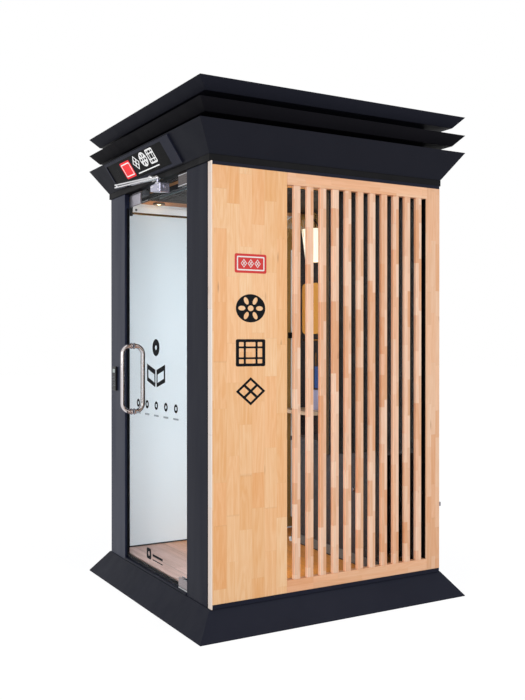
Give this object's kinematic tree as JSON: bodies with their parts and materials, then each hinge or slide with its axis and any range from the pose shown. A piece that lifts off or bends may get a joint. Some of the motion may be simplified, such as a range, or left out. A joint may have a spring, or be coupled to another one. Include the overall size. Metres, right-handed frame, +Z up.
{
  "type": "reading booth",
  "caption": "One-person reading booth: dark steel cabin with a glass swing door, a slatted timber side, a flared base and a flared tiered roof.",
  "frame": {"origin": "on the floor under the middle of the base, on the underside of the base frame", "axes": "+Z up, -Y out of the door, +X out of the slatted side"},
  "size_m": [1.475, 1.5505, 2.5],
  "materials": {
    "black_paint": "satin dark grey paint",
    "black_sheet": "folded sheet, satin dark grey paint",
    "black_board": "board, satin dark grey paint",
    "oak": "oiled pale timber",
    "floor_oak": "matt floor boards",
    "white_board": "pale laminated board",
    "dark_board": "dark laminated board",
    "clear_glass": "clear",
    "smoked_glass": "grey tint",
    "steel": "brushed",
    "polished": "polished",
    "silver_paint": "silver paint",
    "black_plastic": "semi gloss",
    "lamp_white": "diffuser",
    "bearer_timber": "sawn",
    "plywood": "raw"
  },
  "bodies": {
    "cabin": {"threshold": "black_paint", "post_front_left": "black_paint", "post_front_right": "black_paint", "post_back_left": "black_paint", "post_back_right": "black_paint", "base_skirt": "black_sheet", "side_frame": "black_sheet", "left_outer_panel": "black_sheet", "back_outer_panel": "black_sheet", "fascia": "black_sheet", "eave_lower": "black_sheet", "eave_upper": "black_sheet", "roof_panel": "black_board", "ceiling_panel": "oak", "edge_batten": "oak", "side_board": "oak", "slat_rail_bottom": "oak", "slat_rail_top": "oak", "end_stile": "oak", "wall_shelf": "oak", "slat_01": "oak", "slat_02": "oak", "slat_03": "oak", "slat_04": "oak", "slat_05": "oak", "slat_06": "oak", "slat_07": "oak", "slat_08": "oak", "slat_09": "oak", "slat_10": "oak", "slat_11": "oak", "floor_boards": "floor_oak", "left_wall_board": "white_board", "back_wall_board": "dark_board", "side_inner_panel": "dark_board", "desk_front": "dark_board", "desk_top": "dark_board", "side_glass": "smoked_glass", "pivot_plate_bottom": "steel", "pivot_plate_top": "steel", "closer_shoe": "steel", "lock_magnet": "silver_paint", "door_reader": "black_plastic", "sign_panel": "black_plastic", "fan_housing": "black_plastic", "screen": "black_plastic", "power_inlet": "black_plastic", "ceiling_light": "lamp_white", "base_frame": "bearer_timber", "floor_deck": "plywood"},
    "door": {"door_glass": "clear_glass", "door_patch_bottom": "steel", "door_patch_top": "steel", "handle_outer": "polished", "handle_inner": "polished", "lock_armature": "steel", "closer_body": "silver_paint"},
    "closer_main_arm": {"closer_arm": "steel"},
    "closer_second_arm": {"closer_forearm": "steel"},
    "fan": {"fan_rotor": "black_plastic"}
  },
  "joints": [
    {"name": "door_swing", "type": "hinge", "parent": "cabin", "child": "door", "pos_m": [0.335, -0.652, 1.14], "axis": [0, 0, 1], "range_deg": [0, 90], "stiffness_Nm_per_rad": 12},
    {"name": "closer_arm_turn", "type": "hinge", "parent": "door", "child": "closer_main_arm", "pos_m": [0.1, -0.694, 2.1525], "axis": [0, 0, 1], "range_deg": [-83.42, 0]},
    {"name": "closer_forearm_turn", "type": "hinge", "parent": "cabin", "child": "closer_second_arm", "pos_m": [0.025, -0.697, 2.1655], "axis": [0, 0, 1], "range_deg": [0, 74.14]},
    {"name": "fan_spin", "type": "hinge", "parent": "cabin", "child": "fan", "pos_m": [-0.213, -0.445, 2.195], "axis": [0, 0, 1], "continuous": true}
  ],
  "couplings": [
    {"joint": "closer_arm_turn", "follows": "door_swing", "ratio": -0.92679},
    {"joint": "closer_forearm_turn", "follows": "door_swing", "ratio": 0.8237}
  ]
}
